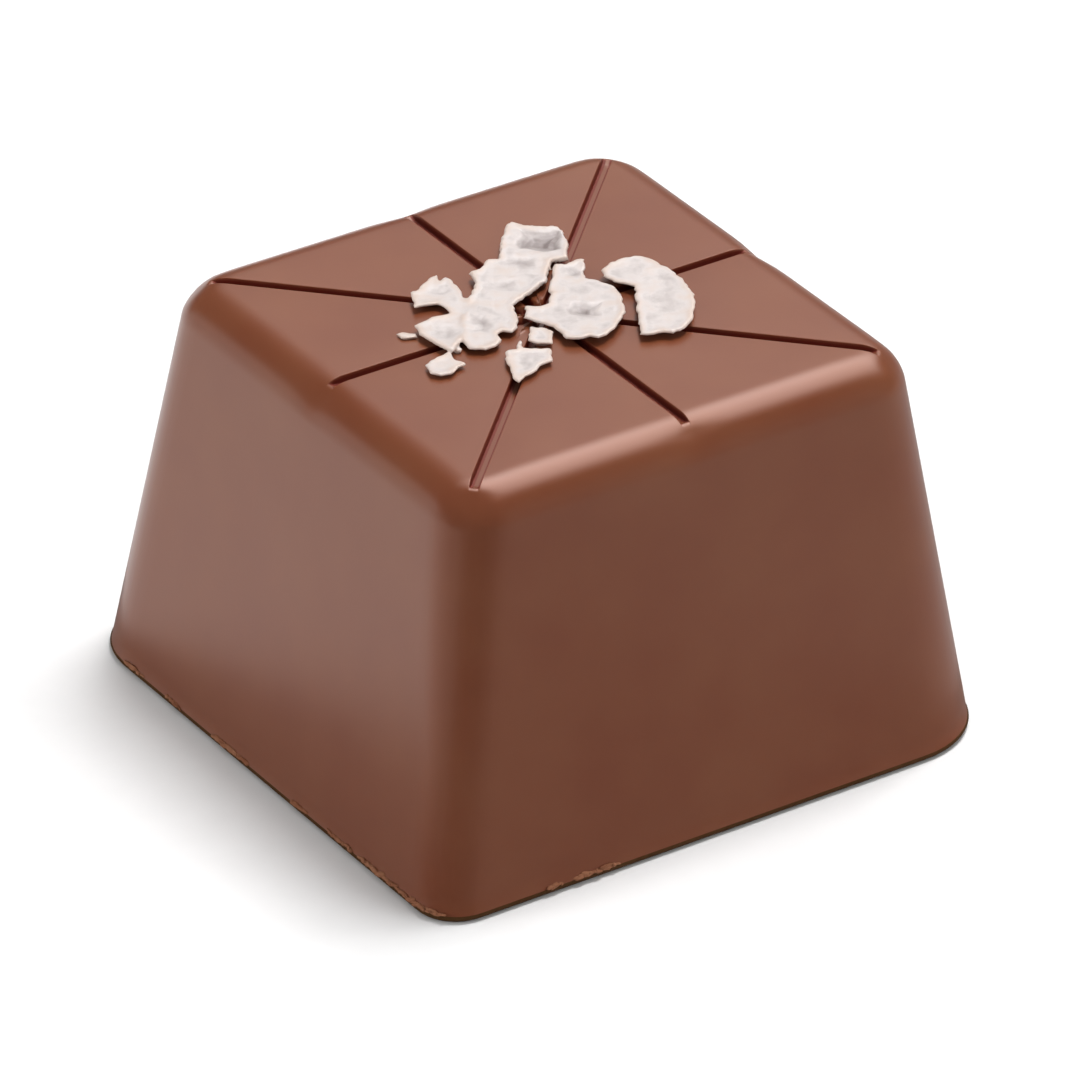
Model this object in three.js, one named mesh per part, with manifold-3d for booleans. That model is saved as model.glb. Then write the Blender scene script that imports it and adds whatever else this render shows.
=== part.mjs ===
// Salted caramel candy: one moulded milk chocolate piece with a cluster of salt flakes on top.
// Millimetres, +Z up. The origin is the middle of the base. The corner towards -X -Y is the front one.
import * as THREE from 'three';
import * as BufferGeometryUtils from 'three/addons/utils/BufferGeometryUtils.js';
import Module from 'manifold-3d';

const wasm = await Module();
wasm.setup();

// Moulded block: a square that narrows evenly from the base to the top.
const BASE_HALF = 14.0;
const TOP_HALF = 11.1;
const HEIGHT = 17.6;
const TOP_FILLET = 1.9;

// Radii of the four upright corners at the base, turning left from the back corner at +X +Y.
const BASE_CORNER_RADII = [4.1, 3.7, 1.9, 4.1];
const TOP_CORNER_RADIUS = 2.3;
const CORNER_STEPS = 8;
const FILLET_STEPS = 7;
const SIDE_RINGS = 3;

// Grooves of the sunburst: they cross near the middle of the top and run out through its rounded rim.
const GROOVE_COUNT = 8;
const GROOVE_WIDTH = 0.6;
const GROOVE_FLOOR_WIDTH = 0.3;
const GROOVE_DEPTH = 0.42;
const GROOVE_CENTRE = [0.1, 0.02];
const GROOVE_OVERSHOOT = 0.3;

// Salt flakes: thin broken plates, pressed a little into the chocolate.
const FLAKE_SINK = 0.14;
const FLAKE_EDGE = 0.07;
const PIT_OVERSHOOT = 0.5;

// Each flake has its corners on the top face (x, y), how high it stands above the top, and the
// slope of its plate in degrees about X and Y. A pit is a hollow left by the crystal's stepped
// growth: its middle, its length and width, its turn in degrees, and how deep it is.
const FLAKES = [
  {
    piece: 'upper hopper',
    corners: [
      [2.4, 6.4], [2.8, 6.6], [3.1, 6], [4.2, 5.2], [4.3, 4.8], [3.8, 3.7], [3.2, 2.8], [2.4, 2.9],
      [1.4, 1.7], [0.2, 1.2], [-0.7, 1.1], [-0.9, 2.6], [0, 3.6], [0.7, 4.2], [1.2, 5], [1.9, 5.8],
    ],
    height: 0.46,
    slope: [0.8, 0.0],
    pits: [
      { centre: [2.95, 4.6], size: [1.5, 1.4], turn: -33, depth: 0.22 },
    ],
  },
  {
    piece: 'middle plate',
    corners: [
      [0.3, 4.5], [-0.5, 4], [-1, 4], [-1.1, 3.4], [-1.5, 2.8], [-2, 2.4], [-2.5, 2], [-3.5, 0.9],
      [-4.2, -0.4], [-4.3, -1.2], [-3.8, -1.6], [-3.3, -1.6], [-2.8, -1.3], [-2.7, -0.8],
      [-2.4, -0.7], [-2.1, -1], [-1.7, -0.8], [-1.4, -0.4], [-1.1, 0.2], [-0.9, 0.8], [0.3, 1.3],
      [1.2, 2], [1.2, 3.9],
    ],
    height: 0.38,
    slope: [0.8, 0.0],
    pits: [],
  },
  {
    piece: 'left upper arm',
    corners: [
      [-3.8, 4], [-3.4, 4], [-3, 4.3], [-2.4, 4.6], [-2.1, 4.6], [-2.3, 4.1], [-1.9, 4.3],
      [-1.8, 3.9], [-1.9, 3.3], [-2.2, 2.5], [-1.8, 1.6], [-3, 0.8], [-3.4, 1.6], [-3.3, 2.1],
      [-3.4, 2.6], [-3.7, 2.7], [-4.4, 2.8], [-4.1, 3.4],
    ],
    height: 0.34,
    slope: [1.0, 1.0],
    pits: [],
  },
  {
    piece: 'left lower arm',
    corners: [
      [-5.2, 1.6], [-4.7, 1.7], [-4, 1.8], [-3.5, 1.7], [-2.8, 1.6], [-3.5, 0], [-4.4, -0.6],
      [-5, -1], [-5.2, -0.5], [-5.3, 0.2], [-5.4, 0.9],
    ],
    height: 0.34,
    slope: [0.0, 1.0],
    pits: [],
  },
  {
    piece: 'right plate',
    corners: [
      [2.4, 2.7], [2.8, 2.4], [3.4, 2.5], [3.7, 2.4], [2.8, 1], [3.1, 0.6], [3.3, 0.1], [3.4, -0.3],
      [3.3, -0.8], [2.9, -1.7], [2.6, -2.3], [1.9, -2.8], [1.3, -3.2], [0.9, -3.4], [0.5, -3.4],
      [0.3, -3.1], [-0.2, -3], [-0.6, -2.7], [-0.5, -1.6], [-0.8, -1], [-1.1, -0.3], [-0.5, 0.5],
      [0, 0.1], [0.4, 0.1], [0.8, 0.6], [1.2, 1.3], [1.7, 1.8],
    ],
    height: 0.42,
    slope: [-0.5, -0.6],
    pits: [
      { centre: [1.35, -1.15], size: [1, 0.9], turn: -33, depth: 0.15 },
      { centre: [2.75, 1.75], size: [0.7, 0.7], turn: -33, depth: 0.1 },
    ],
  },
  {
    piece: 'beak',
    corners: [
      [3.7, 1.2], [4.3, 1.5], [5, 1.5], [5.6, 1.3], [5.9, 0.9], [6, 0.3], [6.1, -0.5], [6.1, -1.1],
      [6, -1.8], [5.8, -2.6], [5.3, -3.3], [4.6, -4.2], [4.1, -4.5], [3.3, -4.7], [3, -4.4],
      [2.3, -4.2], [2.1, -4], [3.2, -2.1], [4.1, -0.7], [3.9, -0.3], [3.6, 0.1], [3.5, 0.7],
    ],
    height: 0.44,
    slope: [0.4, -0.8],
    pits: [],
  },
  {
    piece: 'small block',
    corners: [
      [-1.2, -0.9], [-0.7, -1.4], [-0.6, -1.8], [-1.2, -2.6], [-1.8, -2.1], [-1.9, -1.8],
    ],
    height: 0.28,
    slope: [0.0, 0.0],
    pits: [],
  },
  {
    piece: 'front point',
    corners: [
      [-3.2, -2.1], [-2.7, -2.2], [-2.1, -1.5], [-2.4, -2.3], [-2.2, -2.5], [-1.5, -2.9],
      [-1.8, -3.4], [-2, -3.8], [-2.6, -3.8], [-3.1, -4.1], [-3.6, -4.2], [-4.1, -4.5], [-4.1, -4],
      [-3.9, -3.6], [-3.6, -2.8],
    ],
    height: 0.3,
    slope: [1.0, -0.6],
    pits: [],
  },
  {
    piece: 'left chip',
    corners: [
      [-6.5, -1.2], [-6.1, -1], [-5.5, -0.9], [-5, -0.8], [-5.2, -1.4], [-5, -2], [-5.6, -2.2],
      [-6, -2.4], [-6.4, -2.3], [-6.7, -1.9],
    ],
    height: 0.26,
    slope: [0.0, 0.8],
    pits: [],
  },
  {
    piece: 'needle',
    corners: [
      [-6, 1.7], [-5.7, 1.7], [-5.3, 1.3], [-5.4, 1], [-6, 1.3],
    ],
    height: 0.14,
    slope: [0.0, 0.0],
    pits: [],
  },
  {
    piece: 'crumb',
    corners: [
      [-4.6, -0.3], [-4.4, -0.5], [-4.4, -0.8], [-4.6, -1], [-4.8, -0.7],
    ],
    height: 0.16,
    slope: [0.0, 0.0],
    pits: [],
  },
];

// A geometry's triangles as a solid that can be joined and cut.
function solidOf(geometry) {
  const bare = geometry.clone();
  bare.deleteAttribute('normal');
  bare.deleteAttribute('uv');
  const merged = BufferGeometryUtils.mergeVertices(bare, 1e-4);
  const mesh = new wasm.Mesh({
    numProp: 3,
    vertProperties: new Float32Array(merged.attributes.position.array),
    triVerts: new Uint32Array(merged.index.array),
  });
  return new wasm.Manifold(mesh);
}

function geometryOf(solid) {
  const mesh = solid.getMesh();
  const geometry = new THREE.BufferGeometry();
  geometry.setAttribute('position', new THREE.BufferAttribute(mesh.vertProperties, 3));
  geometry.setIndex(new THREE.BufferAttribute(mesh.triVerts, 1));
  geometry.computeVertexNormals();
  return geometry;
}

// One level outline of the block: a square of the given half width with four rounded corners.
function ringAt(z, half, radii) {
  const points = [];
  radii.forEach((radius, corner) => {
    const turn = corner * Math.PI / 2;
    for (let step = 0; step <= CORNER_STEPS; step += 1) {
      const angle = (step / CORNER_STEPS) * Math.PI / 2;
      const point = new THREE.Vector3(
        half - radius + radius * Math.cos(angle),
        half - radius + radius * Math.sin(angle),
        z,
      );
      points.push(point.applyAxisAngle(new THREE.Vector3(0, 0, 1), turn));
    }
  });
  return points;
}

// The block's outlines from the base to the top: straight leaning sides, then the rounded rim.
function blockRings() {
  const lean = Math.atan2(BASE_HALF - TOP_HALF, HEIGHT);
  const filletHeight = HEIGHT - TOP_FILLET;
  const filletHalf = BASE_HALF - filletHeight * Math.tan(lean) - TOP_FILLET / Math.cos(lean);
  const rimStart = filletHeight + TOP_FILLET * Math.sin(lean);
  const rimHalf = BASE_HALF - rimStart * Math.tan(lean);
  const radiiAt = (z) => BASE_CORNER_RADII.map((radius) => radius + (TOP_CORNER_RADIUS - radius) * z / HEIGHT);

  const rings = [];
  for (let level = 0; level <= SIDE_RINGS; level += 1) {
    const z = rimStart * level / SIDE_RINGS;
    rings.push(ringAt(z, BASE_HALF - z * Math.tan(lean), radiiAt(z)));
  }
  for (let step = 1; step <= FILLET_STEPS; step += 1) {
    const angle = lean + (Math.PI / 2 - lean) * step / FILLET_STEPS;
    const half = filletHalf + TOP_FILLET * Math.cos(angle);
    const radii = radiiAt(rimStart).map((radius) => radius - (rimHalf - half));
    rings.push(ringAt(filletHeight + TOP_FILLET * Math.sin(angle), half, radii));
  }
  return rings;
}

// A closed skin over outlines that all have the same number of points, with a flat cap at each end.
function loftGeometry(rings) {
  const count = rings[0].length;
  const positions = rings.flat().flatMap((point) => [point.x, point.y, point.z]);
  const indices = [];
  for (let level = 0; level + 1 < rings.length; level += 1) {
    for (let i = 0; i < count; i += 1) {
      const next = (i + 1) % count;
      const low = level * count;
      const high = low + count;
      indices.push(low + i, low + next, high + next, low + i, high + next, high + i);
    }
  }
  const bottom = rings.length * count;
  const top = bottom + 1;
  positions.push(0, 0, rings[0][0].z, 0, 0, rings[rings.length - 1][0].z);
  const last = (rings.length - 1) * count;
  for (let i = 0; i < count; i += 1) {
    const next = (i + 1) % count;
    indices.push(bottom, next, i, top, last + i, last + next);
  }
  const geometry = new THREE.BufferGeometry();
  geometry.setAttribute('position', new THREE.Float32BufferAttribute(positions, 3));
  geometry.setIndex(indices);
  return geometry;
}

// A bar with the groove's section, from the middle of the top out past the rim on both sides.
function grooveGeometry(angle) {
  const open = GROOVE_DEPTH + GROOVE_OVERSHOOT;
  const flare = (GROOVE_WIDTH - GROOVE_FLOOR_WIDTH) / 2 / GROOVE_DEPTH;
  const topHalf = GROOVE_FLOOR_WIDTH / 2 + flare * open;
  const section = new THREE.Shape([
    new THREE.Vector2(-GROOVE_FLOOR_WIDTH / 2, 0),
    new THREE.Vector2(GROOVE_FLOOR_WIDTH / 2, 0),
    new THREE.Vector2(topHalf, open),
    new THREE.Vector2(-topHalf, open),
  ]);
  const length = 2 * Math.SQRT2 * BASE_HALF;
  const geometry = new THREE.ExtrudeGeometry(section, { depth: length, bevelEnabled: false, steps: 1 });
  geometry.translate(0, 0, -length / 2);
  geometry.rotateX(Math.PI / 2);
  geometry.rotateZ(angle);
  geometry.translate(GROOVE_CENTRE[0], GROOVE_CENTRE[1], HEIGHT - GROOVE_DEPTH);
  return geometry;
}

function middleOf(corners) {
  const sum = corners.reduce((total, [x, y]) => [total[0] + x, total[1] + y], [0, 0]);
  return [sum[0] / corners.length, sum[1] / corners.length];
}

// One salt flake: a plate with chamfered edges, its pits cut from above, tipped by its slope.
function flakeSolid({ corners, height, slope, pits }) {
  const [middleX, middleY] = middleOf(corners);
  const outline = new THREE.Shape(corners.map(([x, y]) => new THREE.Vector2(x - middleX, y - middleY)));
  const thickness = height + FLAKE_SINK;
  const plate = new THREE.ExtrudeGeometry(outline, {
    depth: thickness - 2 * FLAKE_EDGE,
    steps: 1,
    bevelEnabled: true,
    bevelThickness: FLAKE_EDGE,
    bevelSize: FLAKE_EDGE,
    bevelOffset: -FLAKE_EDGE,
    bevelSegments: 1,
  });
  plate.translate(0, 0, FLAKE_EDGE);
  let solid = solidOf(plate);
  for (const pit of pits) {
    const hollow = new THREE.BoxGeometry(pit.size[0], pit.size[1], pit.depth + PIT_OVERSHOOT);
    hollow.rotateZ(THREE.MathUtils.degToRad(pit.turn));
    hollow.translate(
      pit.centre[0] - middleX,
      pit.centre[1] - middleY,
      thickness - pit.depth + (pit.depth + PIT_OVERSHOOT) / 2,
    );
    solid = solid.subtract(solidOf(hollow));
  }
  return solid.rotate([slope[0], slope[1], 0]).translate([middleX, middleY, HEIGHT - FLAKE_SINK]);
}

function candySolid() {
  let solid = solidOf(loftGeometry(blockRings()));
  for (let bar = 0; bar < GROOVE_COUNT / 2; bar += 1) {
    solid = solid.subtract(solidOf(grooveGeometry(bar * 2 * Math.PI / GROOVE_COUNT)));
  }
  for (const flake of FLAKES) {
    solid = solid.add(flakeSolid(flake));
  }
  return solid;
}

const chocolate = new THREE.MeshStandardMaterial({ color: 0x8f6252, roughness: 0.38, metalness: 0 });

const group = new THREE.Group();
const candy = new THREE.Mesh(geometryOf(candySolid()), chocolate);
candy.name = 'candy';
group.add(candy);

export default group;
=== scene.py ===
# %% [markdown]
# # A salted caramel chocolate, dressed in Blender
#
# The object is one moulded milk chocolate piece: a squat square block that narrows to a flat top,
# eight grooves that meet in the middle of the top like a sunburst, and a small heap of broken sea
# salt flakes over the place where they meet. The solid that was packed before this script holds
# the exact size. Here the same block gets its soft groove lips, its scraped base edge and its
# gloss, and the salt becomes its own crystals.
#
# A real chocolate of this kind is cast in a polished plastic mould, knocked out when it has set,
# and sprinkled by hand while its top is a little sticky. The steps below follow that order.

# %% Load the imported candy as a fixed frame
import math
import random

import bpy
import numpy as np
from mathutils import Matrix, Vector, geometry


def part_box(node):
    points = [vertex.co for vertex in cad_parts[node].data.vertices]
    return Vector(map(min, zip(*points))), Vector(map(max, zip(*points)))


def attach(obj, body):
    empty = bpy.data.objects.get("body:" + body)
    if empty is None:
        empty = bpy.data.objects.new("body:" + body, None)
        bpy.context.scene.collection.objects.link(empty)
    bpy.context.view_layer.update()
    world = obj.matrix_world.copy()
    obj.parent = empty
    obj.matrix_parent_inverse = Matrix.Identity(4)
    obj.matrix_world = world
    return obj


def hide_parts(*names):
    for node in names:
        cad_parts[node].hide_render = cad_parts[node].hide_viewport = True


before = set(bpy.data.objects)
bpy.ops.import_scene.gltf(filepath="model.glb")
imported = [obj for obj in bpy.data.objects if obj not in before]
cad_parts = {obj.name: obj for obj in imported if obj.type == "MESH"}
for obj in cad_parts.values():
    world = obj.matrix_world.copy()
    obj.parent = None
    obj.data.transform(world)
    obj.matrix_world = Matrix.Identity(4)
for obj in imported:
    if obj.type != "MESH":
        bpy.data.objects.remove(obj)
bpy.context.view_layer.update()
candy_low, candy_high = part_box("candy")
print("candy box, mm:", [round(1000 * side, 2) for side in candy_high - candy_low])

# %% [markdown]
# ## Units and sizes
#
# Blender works in metres and a chocolate is thought of in millimetres, so one factor, `MM`, stands
# between the two and every size below is a real one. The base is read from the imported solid, and
# the other sizes are the mould's own: how far the sides lean in, how round the rim and the four
# upright corners are. The corner towards -X -Y is the sharpest one.

# %% Sizes of the moulded block
MM = 0.001

BASE_HALF = (candy_high.x - candy_low.x) / 2 / MM
TOP_HALF = 11.1
HEIGHT = 17.6
TOP_FILLET = 1.9
BASE_CORNER_RADII = (4.1, 3.7, 1.9, 4.1)
TOP_CORNER_RADIUS = 2.3

LEAN = math.atan2(BASE_HALF - TOP_HALF, HEIGHT)
print("sides lean in by", round(math.degrees(LEAN), 1), "degrees")

# %% [markdown]
# ## The block's outline at any height
#
# Looked at from above, the block is a square with four rounded corners, and each corner has its
# own radius. It could be drawn as four lines and four arcs. A signed distance is handier here:
# one short formula says how far outside the outline any point is, so a line from anywhere can be
# followed outwards until it meets the outline. That is what lets the mesh lines run exactly
# along the grooves later on.

# %% Find where a line meets a rounded square
HALVINGS = 44


def outside(x, y, half, radii):
    """How far (x, y) lies outside a square of this half width with four corner radii."""
    right = x > 0
    far = y > 0
    radius = np.where(right, np.where(far, radii[0], radii[3]), np.where(far, radii[1], radii[2]))
    dx = np.abs(x) - half + radius
    dy = np.abs(y) - half + radius
    return np.minimum(np.maximum(dx, dy), 0) + np.hypot(np.maximum(dx, 0), np.maximum(dy, 0)) - radius


def reach(start, heading, half, radii):
    """Distance from each start, along its heading, to the outline, by halving the interval."""
    near = np.zeros(len(start))
    far = np.full(len(start), 3 * BASE_HALF)
    for _ in range(HALVINGS):
        middle = (near + far) / 2
        point = start + heading * middle[:, None]
        inside = outside(point[:, 0], point[:, 1], half, radii) < 0
        near = np.where(inside, middle, near)
        far = np.where(inside, far, middle)
    return near


# %% [markdown]
# ## Lines that follow the grooves
#
# A groove is half a millimetre wide, so a plain grid would show it with jagged edges. The mesh is
# therefore planned around the eight grooves: beside each of them runs a bundle of parallel lines,
# close together where the groove's walls will be, and between two bundles the lines fan out, with
# more of them near the corners, where the block is round. Every line runs from the middle of the
# top over the rim and down the side to the base.

# %% Plan the lines of the mesh
GROOVE_COUNT = 8
GROOVE_CENTRE = np.array([0.1, 0.02])
LINE_OFFSETS = (0.0, 0.06, 0.1, 0.12, 0.145, 0.17, 0.19, 0.203, 0.216, 0.23, 0.245, 0.262, 0.29,
                0.37, 0.6)
FAN_LINES = 16
FAN_CROWDING = 0.22


def groove_lines():
    """Starts and headings of all the mesh lines, turning left from +X."""
    starts = []
    headings = []
    offsets = [-o for o in reversed(LINE_OFFSETS[1:])] + list(LINE_OFFSETS)
    step = 2 * math.pi / GROOVE_COUNT
    for groove in range(GROOVE_COUNT):
        angle = groove * step
        side = np.array([-math.sin(angle), math.cos(angle)])
        next_side = np.array([-math.sin(angle + step), math.cos(angle + step)])
        for offset in offsets:
            starts.append(GROOVE_CENTRE + offset * side)
            headings.append((math.cos(angle), math.sin(angle)))
        edge = LINE_OFFSETS[-1]
        for line in range(1, FAN_LINES + 1):
            share = line / (FAN_LINES + 1)
            crowd = FAN_CROWDING * math.sin(math.pi * share)
            turned = share + (crowd if groove % 2 == 0 else -crowd)
            starts.append(GROOVE_CENTRE + edge * ((1 - turned) * side - turned * next_side))
            headings.append((math.cos(angle + turned * step), math.sin(angle + turned * step)))
    return np.array(starts), np.array(headings)


line_starts, line_headings = groove_lines()
print("lines around the block:", len(line_starts))

# %% [markdown]
# ## Loft the block
#
# The mould's cavity is a loft: level outlines stacked from the base to the top. The sides are
# straight and lean in, and the rim is a quarter round that starts square to the side. At the foot
# the last third of a millimetre turns in under the block, where the back of the mould was scraped
# level and the chocolate shrank away from the edge as it set: the gap below it gives part of the
# thin dark line that is seen under a real piece, and the rest is painted shade, a dark colour that
# the foot's faces get later. A cube with a bevel would give nearly the same form, but a loft keeps
# every line of the mesh on its groove.

# %% Heights and widths of the outlines
SIDE_RINGS = 22
RIM_RINGS = 20
FOOT_RINGS = 8
FOOT_HEIGHT = 0.32
FOOT_INSET = 0.3


def corner_radii(z):
    """The four corner radii at height z, which change evenly from the base to the top."""
    return [r + (TOP_CORNER_RADIUS - r) * z / HEIGHT for r in BASE_CORNER_RADII]


def block_rings():
    """Height, half width and corner radii of every outline up to the edge of the flat top."""
    rings = []
    for k in range(FOOT_RINGS):
        turn = math.pi / 2 * k / FOOT_RINGS
        tuck = FOOT_INSET * (1 - math.sin(turn))
        rings.append((FOOT_HEIGHT * (1 - math.cos(turn)), BASE_HALF - tuck, tuck))
    rim_height = HEIGHT - TOP_FILLET
    rim_half = BASE_HALF - rim_height * math.tan(LEAN) - TOP_FILLET / math.cos(LEAN)
    rim_start = rim_height + TOP_FILLET * math.sin(LEAN)
    for k in range(SIDE_RINGS):
        z = FOOT_HEIGHT + (rim_start - FOOT_HEIGHT) * k / SIDE_RINGS
        rings.append((z, BASE_HALF - z * math.tan(LEAN), 0.0))
    start_half = BASE_HALF - rim_start * math.tan(LEAN)
    for k in range(RIM_RINGS + 1):
        turn = LEAN + (math.pi / 2 - LEAN) * k / RIM_RINGS
        half = rim_half + TOP_FILLET * math.cos(turn)
        rings.append((rim_height + TOP_FILLET * math.sin(turn), half, start_half - half))
    sized = []
    for z, half, tuck in rings:
        height = min(z, rim_start)
        sized.append((z, half, [r - tuck for r in corner_radii(height)]))
    return sized


print("outlines up to the edge of the flat top:", len(block_rings()))

# %% [markdown]
# ## Skin the outlines
#
# Every line of the plan meets every outline in one point, and four neighbouring points make a
# face. Across the flat top the same lines run on to a ring around the middle and from there, in
# closer steps, to one point. The underside is a fan of faces around a point in its middle.

# %% Skin the outlines into one closed mesh
TOP_RINGS = 22
MIDDLE_RINGS = 14
MIDDLE_RADIUS = 1.5


def new_piece(name, points, faces=(), edges=()):
    """A new object in the scene, unturned at the origin, with its place in its mesh."""
    mesh = bpy.data.meshes.new(name)
    mesh.from_pydata(points, edges, faces)
    piece = bpy.data.objects.new(name, mesh)
    bpy.context.scene.collection.objects.link(piece)
    return piece


def loft_block():
    """The smooth block, still without its grooves, as a piece with a closed mesh."""
    rings = block_rings()
    layers = []
    for z, half, radii in rings:
        far = reach(line_starts, line_headings, half, radii)
        flat = line_starts + line_headings * far[:, None]
        layers.append(np.c_[flat, np.full(len(flat), z)])
    edge = far
    for k in range(1, TOP_RINGS + 1):
        along = edge + (MIDDLE_RADIUS - edge) * k / TOP_RINGS
        flat = line_starts + line_headings * along[:, None]
        layers.append(np.c_[flat, np.full(len(flat), HEIGHT)])
    for k in range(1, MIDDLE_RINGS):
        inner = GROOVE_CENTRE + (flat - GROOVE_CENTRE) * (1 - k / MIDDLE_RINGS)
        layers.append(np.c_[inner, np.full(len(flat), HEIGHT)])
    count = len(line_starts)
    points = np.concatenate(layers + [[[*GROOVE_CENTRE, HEIGHT], [0, 0, 0]]]) * MM
    top = len(points) - 2
    bottom = len(points) - 1
    faces = []
    for level in range(len(layers) - 1):
        for i in range(count):
            j = (i + 1) % count
            low = level * count
            faces.append((low + i, low + j, low + count + j, low + count + i))
    last = (len(layers) - 1) * count
    for i in range(count):
        j = (i + 1) % count
        faces.append((last + i, last + j, top))
        faces.append((j, i, bottom))
    piece = new_piece("chocolate_block", points.tolist(), faces)
    piece.data.validate()
    return piece


block = loft_block()
print("block:", len(block.data.vertices), "points,", len(block.data.polygons), "faces")

# %% [markdown]
# ## One helper for every node
#
# Materials and Geometry Nodes are both graphs. This one function adds a node of any kind, sets its
# properties and fills its inputs, either with a value or with a link. A link may come from one
# output of a node, or from a node as a whole, which then means its first output in use. A second
# function turns the hex colours that people read into the linear values that light works in, and
# a third starts a material with nothing in it but the Object coordinates, which stay fixed to the
# piece and are measured in metres.

# %% Helpers for nodes and colours
def add_node(tree, kind, inputs=(), **settings):
    """Adds one node. Its inputs are a dict by name or number, or a list in the sockets' order."""
    made = tree.nodes.new(kind)
    for name, value in settings.items():
        setattr(made, name, value)
    for key, value in inputs.items() if isinstance(inputs, dict) else enumerate(inputs):
        socket = made.inputs[key]
        if isinstance(value, bpy.types.Node):
            value = next(output for output in value.outputs if output.enabled)
        if isinstance(value, bpy.types.NodeSocket):
            tree.links.new(value, socket)
        else:
            socket.default_value = value
    return made


def colour(hex_text):
    """An sRGB hex colour as linear red, green, blue and alpha."""
    channels = [int(hex_text[i:i + 2], 16) / 255 for i in (1, 3, 5)]
    linear = [c / 12.92 if c <= 0.04045 else ((c + 0.055) / 1.055) ** 2.4 for c in channels]
    return (*linear, 1.0)


def per_metre(millimetres):
    """Scale of a noise pattern whose features are this many millimetres across."""
    return 1 / (millimetres * MM)


def blank_material(name):
    """A material, its empty tree, and the Object coordinates that its patterns follow."""
    material = bpy.data.materials.new(name)
    material.use_nodes = True
    tree = material.node_tree
    tree.nodes.clear()
    return material, tree, add_node(tree, "ShaderNodeTexCoord").outputs["Object"]


# %% [markdown]
# ## Moulded milk chocolate
#
# Tempered milk chocolate that set against polished plastic is a smooth fat-bound solid: brown
# cocoa with milk, an even satin gloss, and a little light that sinks in and comes back warmer.
# Its surface is never perfectly even. The cocoa butter sets in faint clouds a few millimetres
# across, which change the brown and the gloss a little, the faces sink in broad shallow waves as
# they shrink, and there is a very fine grain. All three are noise in Object coordinates, with each
# size given in millimetres. The walls of the grooves, and a strip of their floor beside the walls,
# are painted a dark red-brown: painted shade for the little light that reaches into a groove. They
# are also duller, because the ridges of a mould are hard to polish: an attribute that the groove
# step stores says where they are. What the surface mirrors is tinted warm, because the light passes
# through a skin of cocoa butter, so the highlights are pink and not white.

# %% Chocolate material
CHOCOLATE_DEEP = "#683420"
CHOCOLATE_PALE = "#73432B"
# Painted shade: the dark red-brown that the groove walls and a strip of their floor are painted.
GROOVE_SHADE = "#5E1A0E"
MOTTLE_SIZE = 4.0
WAVE_SIZE = 9.0
WAVE_HEIGHT = 0.04
GRAIN_SIZE = 0.22
GRAIN_HEIGHT = 0.0012
SATIN_ROUGHNESS = (0.285, 0.345)
GROOVE_ROUGHNESS = 0.6
WARM_MIRROR = (1.0, 0.75, 0.67, 1.0)
LIGHT_DEPTH = 0.6


def moulded_milk_chocolate():
    material, tree, place = blank_material("milk_chocolate_moulded_satin")
    mottle = add_node(tree, "ShaderNodeTexNoise", {
        "Vector": place, "Scale": per_metre(MOTTLE_SIZE), "Detail": 2.0})
    cocoa = add_node(tree, "ShaderNodeMix", {
        "Factor": mottle, "A": colour(CHOCOLATE_DEEP), "B": colour(CHOCOLATE_PALE)},
        data_type="RGBA")
    on_wall = add_node(tree, "ShaderNodeAttribute", attribute_name="groove").outputs["Fac"]
    # Painted shade: where the groove attribute is set, the brown is mixed towards the dark groove shade.
    shaded = add_node(tree, "ShaderNodeMix", {
        "Factor": on_wall, "A": cocoa, "B": colour(GROOVE_SHADE)}, data_type="RGBA")
    satin = add_node(tree, "ShaderNodeMapRange", {
        "Value": mottle, "To Min": SATIN_ROUGHNESS[0], "To Max": SATIN_ROUGHNESS[1]})
    gloss = add_node(tree, "ShaderNodeMix", {
        "Factor": on_wall, "A": satin, "B": GROOVE_ROUGHNESS}, data_type="FLOAT")
    wave = add_node(tree, "ShaderNodeTexNoise", {
        "Vector": place, "Scale": per_metre(WAVE_SIZE), "Detail": 1.0})
    waved = add_node(tree, "ShaderNodeBump", {
        "Height": wave, "Distance": WAVE_HEIGHT * MM, "Strength": 1.0})
    grain = add_node(tree, "ShaderNodeTexNoise", {
        "Vector": place, "Scale": per_metre(GRAIN_SIZE), "Detail": 2.0})
    grained = add_node(tree, "ShaderNodeBump", {
        "Height": grain, "Distance": GRAIN_HEIGHT * MM, "Strength": 1.0, "Normal": waved})
    body = add_node(tree, "ShaderNodeBsdfPrincipled", {
        "Base Color": shaded, "Roughness": gloss, "Normal": grained, "IOR": 1.6,
        "Specular Tint": WARM_MIRROR, "Subsurface Weight": 0.12,
        "Subsurface Radius": (1.0, 0.4, 0.2), "Subsurface Scale": LIGHT_DEPTH * MM})
    add_node(tree, "ShaderNodeOutputMaterial", {"Surface": body})
    return material


chocolate = moulded_milk_chocolate()
print("satin roughness:", SATIN_ROUGHNESS, "mottle, mm:", MOTTLE_SIZE)

# %% [markdown]
# ## Scraped chocolate, and the painted shade at the foot
#
# Where the scraper cut the chocolate level it tore it, so it never touched the polished mould. It
# is the same brown but dull: rough chocolate scatters light where moulded chocolate mirrors it.
# The loose scrapings are paler, because their edges are thin. The foot that turns in under the
# block is painted dark brown: painted shade for the narrow gap between the candy and what it
# stands on, which sees little light. One function makes both, the dull scraped finish and the
# painted foot shade, from two shades each, mixed by a noise of the size of the crumbs.

# %% Scraped chocolate, and the painted shade of the foot
SCRAPED_SHADES = ("#6B3A26", "#9A6E54")
# Painted shade: the two dark browns of the foot stand in for the shade in the gap under the block.
FOOT_PAINTED_SHADES = ("#3A2512", "#4E3621")
CRUMB_SIZE = 0.6
TORN_ROUGHNESS = 0.7


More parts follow.
